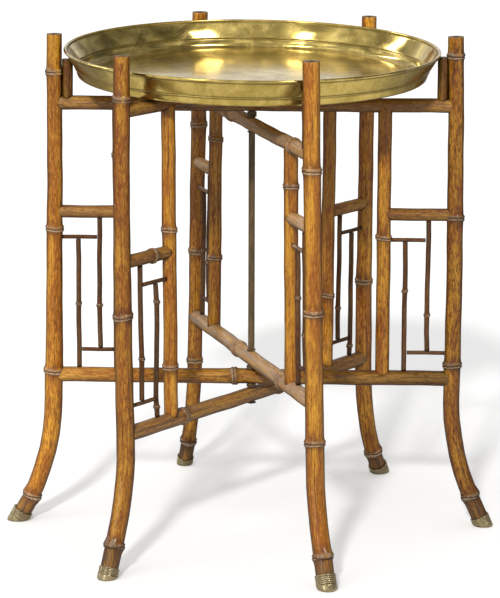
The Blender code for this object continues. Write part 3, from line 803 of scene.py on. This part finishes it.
def ferrule_outline():
    """(share of the height, rise in mm, crease): a plain foot, fine ribs, a deep groove and a thin lip."""
    low, high = FERRULE_RIB_SHARES
    outline = [(share, 0.12, 0.0) for share in np.linspace(-1.0, 0.36, 12)]
    pitch = (high - low) / FERRULE_RIBS
    for rib in range(FERRULE_RIBS):
        start = low + rib * pitch
        outline += [(start + step * pitch, rise, crease) for step, rise, crease in FERRULE_RIB]
    outline += [(high - 0.01, -0.1, 0.5), (high, -0.55, 1.0), (high + 0.015, -0.1, 0.6),
                (high + 0.035, 0.38, 0.0), (0.96, 0.52, 0.0), (0.99, 0.4, 0.0), (1.0, 0.05, 0.0)]
    return outline


def cut_at_floor(mesh, foot):
    """Cuts a ferrule flat where it stands on the floor and rounds its edge there."""
    work = bmesh.new()
    work.from_mesh(mesh)
    parts = bmesh.ops.bisect_plane(
        work, geom=work.verts[:] + work.edges[:] + work.faces[:], plane_co=(0, 0, 0), plane_no=(0, 0, -1),
        clear_outer=True)
    edges = [part for part in parts["geom_cut"] if isinstance(part, bmesh.types.BMEdge)]
    bmesh.ops.contextual_create(work, geom=edges)
    for corner in work.verts:
        if corner.co.z < FERRULE_TOE:
            drop = FERRULE_TOE - max(corner.co.z, 0.0)
            pull = FERRULE_TOE - math.sqrt(FERRULE_TOE ** 2 - drop ** 2)
            away = Vector((corner.co.x - foot[0], corner.co.y - foot[1], 0.0))
            corner.co -= away.normalized() * pull
    work.to_mesh(mesh)
    work.free()


def make_ferrule(end, leg):
    """A turned brass cup on the foot of a leg, with fine ribs."""
    node = end + "_ferrule"
    low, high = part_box(node)
    triangles = solid_triangles(node)
    path, lengths = leg["path"], leg["lengths"]
    tangents = path_tangents(path)
    middle = int(np.argmin(np.abs(path[:, 2] - (low.z + high.z) / 2)))
    cane_radius = leg["radius"][middle]
    reach = section(triangles, path[middle], tangents[middle])[2]
    outer = min(FERRULE_FIT * reach, cane_radius + FERRULE_WALL)
    top = float(((triangles.reshape(-1, 3) - path[middle]) @ tangents[middle]).max()) + lengths[middle]
    top += FERRULE_TALL.get(end, 0.0)
    outline = [(share * top, outer + rise * MM, crease) for share, rise, crease in ferrule_outline()]
    outline.append((top, cane_radius + 0.25 * MM, 0.6))
    outline.append((top - 2 * MM, cane_radius - 0.4 * MM, 1.0))
    distance, radius, crease = (np.array(column) for column in zip(*outline))
    centres = np.column_stack([np.interp(distance, lengths, column) for column in path.T])
    centres += tangents[0] * np.minimum(distance, 0)[:, None]
    theta = angles(FERRULE_SIDES)
    across, beside = turned_frames(tangents)
    spokes = across[0] * np.cos(theta)[:, None] + beside[0] * np.sin(theta)[:, None]
    radius, distance = radius[:, None], distance[:, None]
    places = stacked(radius * np.cos(theta), radius * np.sin(theta), distance)
    mesh = ring_mesh(node + "_turned", centres[:, None] + spokes * radius[..., None], {
        "crease": crease[:, None],
        "cane_co": places + seeded(node).uniform(1, 9),
    })
    cut_at_floor(mesh, path[0])
    add_piece(mesh, BODY_OF_END[end], node, "old_brass")


def turned_rings(outline, theta):
    """Rings about +Z for (radius, height) points."""
    circle = stacked(np.cos(theta), np.sin(theta), 0.0)
    return np.array([circle * radius + np.array((0, 0, height)) for radius, height in outline])


ROD_RADIUS = 4.3 * MM
WASHER_RADIUS, WASHER_THICKNESS = 6.3 * MM, 1.15 * MM
EDGE = 0.35 * MM  # a washer's rounded edge, and its gap to the rail
HEAD_RADIUS, HEAD_HEIGHT = 6.9 * MM, 2.4 * MM
HEAD_DOME = ((0.3, 0.1), (3.2, 0.2), (5.6, 0.9), (6.7, 1.7))  # (radius, depth below the end) in mm
SPACER_GAP = 14 * MM  # rails closer than this have a split spacer between them
SPACER_SPLIT = 0.15 * MM  # half of the split


def rod_head(tip, inward):
    """The outline of a riveted head from its tip inwards."""
    dome = [(radius * MM, tip + inward * depth * MM) for radius, depth in HEAD_DOME]
    seat = tip + inward * HEAD_HEIGHT
    return dome + [(HEAD_RADIUS, seat - inward * EDGE), (ROD_RADIUS, seat)]


def collar(top, bottom):
    """The outline of a washer or of half a spacer, from the top down."""
    return [(ROD_RADIUS, top), (WASHER_RADIUS - EDGE, top), (WASHER_RADIUS, top - EDGE),
            (WASHER_RADIUS, bottom + EDGE), (WASHER_RADIUS - EDGE, bottom), (ROD_RADIUS, bottom)]


def make_rod(rails):
    """The iron rod through all six rails: riveted heads, and washers or spacers between the rails."""
    low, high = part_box("pivot_rod")
    outline = rod_head(high.z, -1)
    ordered = sorted(rails, reverse=True)
    for (upper, upper_radius), (lower, lower_radius) in zip(ordered, ordered[1:]):
        top, bottom = upper - upper_radius, lower + lower_radius
        if top - bottom < SPACER_GAP:
            middle = (top + bottom) / 2
            outline += collar(top - EDGE, middle + SPACER_SPLIT)
            outline += collar(middle - SPACER_SPLIT, bottom + EDGE)
        else:
            outline += collar(top - EDGE, top - EDGE - WASHER_THICKNESS)
            outline += collar(bottom + EDGE + WASHER_THICKNESS, bottom + EDGE)
    outline += rod_head(low.z, 1)[::-1]
    rings = turned_rings(outline[::-1], angles(ROD_SIDES))
    mesh = ring_mesh("pivot_rod_turned", rings, {"cane_co": rings + 3.0})
    mesh.set_sharp_from_angle(angle=math.radians(35))
    add_piece(mesh, "middle_frame", "pivot_rod", "iron")


# The tray's outline in mm, (radius, height, crease), from the middle of the floor out over the rim's bead
# and back underneath
SHEET = 1.2
TRAY_FLOOR = tuple((radius, SHEET, 0) for radius in (0.5, 25, 55, 85, 115, 145, 170, 190, 205, 215))
TRAY_INSIDE = (
    (220.5, 1.25, 0), (223.0, 1.55, 0), (224.9, 2.4, 0.1), (226.2, 3.7, 0), (227.2, 5.4, 0),
    (228.0, 7.6, 0), (228.5, 9.3, 0), (228.7, 10.0, 0.35),
    (229.0, 10.45, 1.0), (229.7, 10.85, 0.5), (230.1, 11.4, 0.0), (229.9, 12.0, 0.4), (229.55, 12.5, 1.0),
    (229.75, 13.1, 0.3), (230.6, 14.3, 0), (232.2, 16.6, 0), (234.0, 19.3, 0), (235.8, 22.1, 0),
    (237.5, 25.0, 0), (239.1, 27.9, 0), (240.5, 30.5, 0), (241.3, 32.0, 0.25),
)
TRAY_OUTSIDE = (
    (243.1, 31.9, 0.7), (242.2, 30.2, 0.1), (240.7, 27.6, 0), (239.1, 24.9, 0), (237.4, 22.0, 0),
    (235.6, 19.1, 0), (233.8, 16.2, 0), (232.3, 13.9, 0), (231.6, 12.9, 0.5), (231.25, 12.3, 1.0),
    (231.35, 11.7, 0.5), (231.5, 11.2, 0), (231.2, 10.7, 0.4), (230.5, 10.25, 1.0), (229.9, 9.6, 0.4),
    (229.5, 8.2, 0), (229.1, 6.0, 0), (228.6, 3.8, 0), (227.7, 1.9, 0), (226.0, 0.6, 0), (223.5, 0.1, 0),
)
TRAY_UNDERSIDE = tuple((radius, 0.0, 0) for radius in (219, 205, 180, 140, 90, 45, 0.5))
BEAD_MIDDLE = (243.8, 34.3)
BEAD_RADIUS = 2.1
BEAD_POINTS = 16
BEAD_FROM, BEAD_SWEEP = 205, 275  # degrees, round over the top and down the outside
WALL_FROM, WALL_SPAN = 0.215, 0.028  # the wall is wavy from this radius, fully after the span
FLOOR_TO, FLOOR_FADE = 0.222, 0.02  # the floor swells inside this radius
DENTS_FROM = 0.2295


def tray_outline():
    """(radius, height, crease) in mm, over the inside, the bead and the outside, and the inside's count."""
    outline = [*TRAY_FLOOR, *TRAY_INSIDE]
    for step in range(BEAD_POINTS):
        turn = math.radians(BEAD_FROM - step * BEAD_SWEEP / (BEAD_POINTS - 1))
        outline.append((
            BEAD_MIDDLE[0] + BEAD_RADIUS * math.cos(turn), BEAD_MIDDLE[1] + BEAD_RADIUS * math.sin(turn),
            0.8 if step in (0, BEAD_POINTS - 1) else 0.0))
    return outline + [*TRAY_OUTSIDE, *TRAY_UNDERSIDE], len(outline)


def worn_sheet(points, theta, radius, height, floor_share):
    """The tray's points, moved as old sheet is: waves and dents in the wall, slow swells of the floor."""
    dice = seeded("tray")
    push = np.zeros(points.shape[:2])
    wall_share = np.clip((radius - WALL_FROM) / WALL_SPAN, 0, 1)
    for waves in (2, 3, 5, 8, 13, 21):
        wave = np.sin(waves * theta + dice.uniform(0, TURN))
        push = push + wall_share * 0.3 * MM / waves ** 0.9 * wave
    lift = np.zeros(push.shape)
    for _ in range(14):
        bearing = dice.uniform(0, TURN)
        pitch = dice.uniform(0.07, 0.22)
        phase = (points[..., 0] * math.cos(bearing) + points[..., 1] * math.sin(bearing)) / pitch
        swell = np.sin(TURN * phase + dice.uniform(0, 6))
        lift = lift + floor_share * 0.035 * MM * (pitch / 0.1) * swell
    for _ in range(9):
        azimuth, at_height = dice.uniform(0, TURN), dice.uniform(16, 29) * MM
        depth, wide = dice.uniform(0.15, 0.45) * MM, dice.uniform(3.5, 8) * MM
        around = wrapped(theta - azimuth) * radius
        push = push - depth * bell(around, 0, wide) * bell(height, at_height, wide) * (radius > DENTS_FROM)
    points = points + stacked(np.cos(theta), np.sin(theta), 0.0) * push[..., None]
    points[..., 2] += lift
    return points


def make_tray():
    """The tray, turned in fine steps, worn, and then tilted as it lies."""
    outline, inner_count = tray_outline()
    outside = np.arange(len(outline)) >= inner_count
    outline, outside = np.array(outline[::-1], dtype=float), outside[::-1]
    radius, height = outline[:, 0, None] * MM, outline[:, 1, None] * MM
    theta = angles(TRAY_SIDES)
    rings = turned_rings(outline[:, :2] * MM, theta)
    floor_share = np.clip((FLOOR_TO - radius) / FLOOR_FADE, 0, 1)
    points = worn_sheet(rings, theta, radius, height, floor_share)
    mesh = ring_mesh("brass_tray_turned", points, {
        "crease": outline[:, 2, None],
        "flat": floor_share,
        "outside": outside[:, None],
        "sheet_co": stacked(points[..., 0], points[..., 1], height),
        "tray_co": stacked(np.sin(theta) * 3, np.cos(theta) * 0.12 + radius, height),
    })
    seat = next(mount for mount in frame["record"]["mounts"] if mount["name"] == "tray_floor")
    normal = Vector(seat["axis"])
    tilt = Vector((0, 0, 1)).rotation_difference(normal).to_matrix().to_4x4()
    mesh.transform(Matrix.Translation(Vector(seat["pos_m"]) - normal * SHEET * MM) @ tilt)
    add_piece(mesh, "tray", "brass_tray", "polished_brass")


WOODS = {  # the light, middle and dark colours, the roughness and the coat
    "bamboo_leg": ((0.6, 0.285, 0.028), (0.36, 0.122, 0.012), (0.125, 0.036, 0.006), 0.36, 0.66),
    "bamboo_rail": ((0.55, 0.285, 0.05), (0.34, 0.14, 0.02), (0.11, 0.036, 0.008), 0.36, 0.66),
    "bamboo_twig": ((0.155, 0.08, 0.034), (0.085, 0.042, 0.018), (0.038, 0.019, 0.01), 0.42, 0.25),
}
MATERIALS = {name: bamboo_material(name, *wood) for name, wood in WOODS.items()}
MATERIALS |= {"polished_brass": polished_brass(), "old_brass": old_brass(), "iron": dark_iron()}

rail_levels = []
for body in ("middle", "inner", "outer"):
    for level in ("top", "lower"):
        rail = make_cane(f"{body}_{level}_rail", body + "_frame", "rail", (1.0, 0.3, 0.0))
        rail_levels.append((float(rail["path"][:, 2].mean()), float(np.median(rail["radius"]))))

for end, body in BODY_OF_END.items():
    leg = make_cane(end + "_leg", body, "leg")
    make_ferrule(end, leg)
    make_cane(end + "_inner_post", body, "post")
    out = leg["path"][-1] * (1.0, 1.0, 0.0)
    make_cane(end + "_mid_rail", body, "mid_rail", out)
    for twig in ("top", "bottom"):
        make_cane(f"{end}_fret_{twig}_twig", body, "twig", out)
    for twig in ("hanging", "standing"):
        make_cane(f"{end}_fret_{twig}_twig", body, "twig")
    if end in ENDS_WITH_REST:
        make_cane(end + "_tray_rest", body, "rest")

make_rod(rail_levels)
make_tray()


# ---- floor, light and camera

FLOOR_HALF = 14.0
FLOOR_GLOW = 0.24  # keeps the paper floor white between pale shadows
CAMERA_PLACE = (0.1465, -3.9384, 1.1605)
CAMERA_TILT, CAMERA_TURN, CAMERA_ROLL = (math.radians(angle) for angle in (77.8, 2.158, 0.158))
CAMERA_LENS = 182.95
WHITE = (1.0, 1.0, 1.0)

# Seen in reflections only: (azimuth, elevation, half width, half height, strength), angles in degrees
SOFTBOXES = (
    (46, 59, 4.6, 9, 12.0),
    (-43.5, 59, 2.5, 9, 12.0),
    (-115, 29, 2.0, 9, 10.0),
    (-30, 12, 3.0, 17, 3.5),
)
SOFTBOX_BLUR = 2
# The light that shades the object: (azimuth, elevation, strength, apparent size)
SUNS = (
    (-9, 31, 2.35, 5),
    (-42, 52, 0.6, 40),
)


def heading(azimuth, elevation):
    """The direction towards something seen from the table; azimuth 0 is the front and 90 the right."""
    a, e = math.radians(azimuth), math.radians(elevation)
    return Vector((math.sin(a) * math.cos(e), -math.cos(a) * math.cos(e), math.sin(e)))


def make_floor():
    mesh = bpy.data.meshes.new("floor")
    corners = [(x * FLOOR_HALF, y * FLOOR_HALF, 0) for x, y in ((-1, -1), (1, -1), (1, 1), (-1, 1))]
    mesh.from_pydata(corners, [], [(0, 1, 2, 3)])
    s = Shader(bpy.data.materials.new("floor_paper"))
    path = s.node("LightPath").outputs
    seen = path["Is Camera Ray"]
    behind = s.dot(s.add("NewGeometry", output="Position"), (0, 1, 0))
    mirrored = s.mix(s.ramp(behind, -0.1, 0.7), (0.62, 0.61, 0.58), (0.2, 0.195, 0.18))
    unseen = s.mix(path["Is Glossy Ray"], (0.38, 0.375, 0.36), mirrored)
    paper = s.add("BsdfDiffuse", {"Color": s.mix(seen, unseen, (0.8, 0.8, 0.8))})
    glow = s.add("Emission", {"Color": WHITE, "Strength": s.product(seen, FLOOR_GLOW)})
    s.finish(s.add("AddShader", {0: paper, 1: glow}))
    mesh.materials.append(s.owner)
    placed("floor", mesh)


def softbox(s, direction, azimuth, elevation, half_width, half_height, strength):
    """A rectangle of light with soft edges, in degrees, for the world's strength."""
    centre = heading(azimuth, elevation)
    side = centre.cross(Vector((0, 0, 1))).normalized()
    light = s.product(s.ramp(s.dot(direction, centre), 0.0, 0.2), strength)
    for across, half in ((side, half_width), (side.cross(centre), half_height)):
        inner, outer = (math.sin(math.radians(angle)) for angle in (half, half + SOFTBOX_BLUR))
        offset = s.math("ABSOLUTE", s.dot(direction, across))
        light = s.product(light, s.ramp(offset, inner, outer, 1.0, 0.0))
    return light


def make_world():
    """White to the camera, a soft sky to dull surfaces, and a patchy room with softboxes to reflections."""
    world = bpy.data.worlds.new("studio")
    bpy.context.scene.world = world
    s = Shader(world)
    direction = s.add("TexCoord", output="Generated")
    side, back, up = (s.dot(direction, axis) for axis in ((1, 0, 0), (0, 1, 0), (0, 0, 1)))
    room = s.sum(s.ramp(side, -0.85, 0.75, 0.7, 0.22), s.ramp(back, 0.8, 0.97, 0.0, 0.3),
                 s.ramp(back, -0.2, -0.55, 0.0, 0.26))
    patches = s.noise(direction, 3.6, 3, 0.6)
    room = s.product(room, s.ramp(patches, 0.36, 0.64, 0.5, 1.45))
    path = s.node("LightPath").outputs
    # the softboxes show less in a second reflection, and not at all after a diffuse bounce
    direct = s.product(s.math("LESS_THAN", path["Diffuse Depth"], 0.5),
                       s.ramp(path["Glossy Depth"], 1.0, 2.0, 1.0, 0.4))
    for box in SOFTBOXES:
        room = s.sum(room, s.product(softbox(s, direction, *box), direct))

    def glowing(colour, strength):
        return s.add("Background", {"Color": colour, "Strength": strength})

    soft = glowing(WHITE, s.ramp(up, -0.1, 0.9, 0.26, 0.66))
    reflected = glowing((1.0, 0.995, 0.98), room)
    unseen = s.add("MixShader", {0: path["Is Glossy Ray"], 1: soft, 2: reflected})
    seen = s.add("MixShader", {0: path["Is Camera Ray"], 1: unseen, 2: glowing(WHITE, 1.0)})
    s.finish(seen, "OutputWorld")


def make_lights():
    for index, (azimuth, elevation, strength, size) in enumerate(SUNS):
        lamp = bpy.data.lights.new(f"sun_{index}", "SUN")
        lamp.energy = strength
        lamp.angle = math.radians(size)
        lamp.color = (1.0, 0.985, 0.96)
        sun = placed(f"sun_{index}", lamp)
        sun.rotation_euler = heading(azimuth, elevation).to_track_quat("Z", "Y").to_euler()
        sun.visible_glossy = False


def make_camera():
    lens = bpy.data.cameras.new("camera")
    lens.lens = CAMERA_LENS
    lens.sensor_width = 36.0
    lens.clip_end = 60.0
    camera = placed("camera", lens)
    turn = Matrix.Rotation(CAMERA_TURN, 4, "Z") @ Matrix.Rotation(CAMERA_TILT, 4, "X")
    camera.matrix_world = Matrix.Translation(CAMERA_PLACE) @ turn @ Matrix.Rotation(CAMERA_ROLL, 4, "Z")
    bpy.context.scene.camera = camera


make_floor()
make_world()
make_lights()
make_camera()
bpy.context.scene.view_settings.view_transform = "Standard"
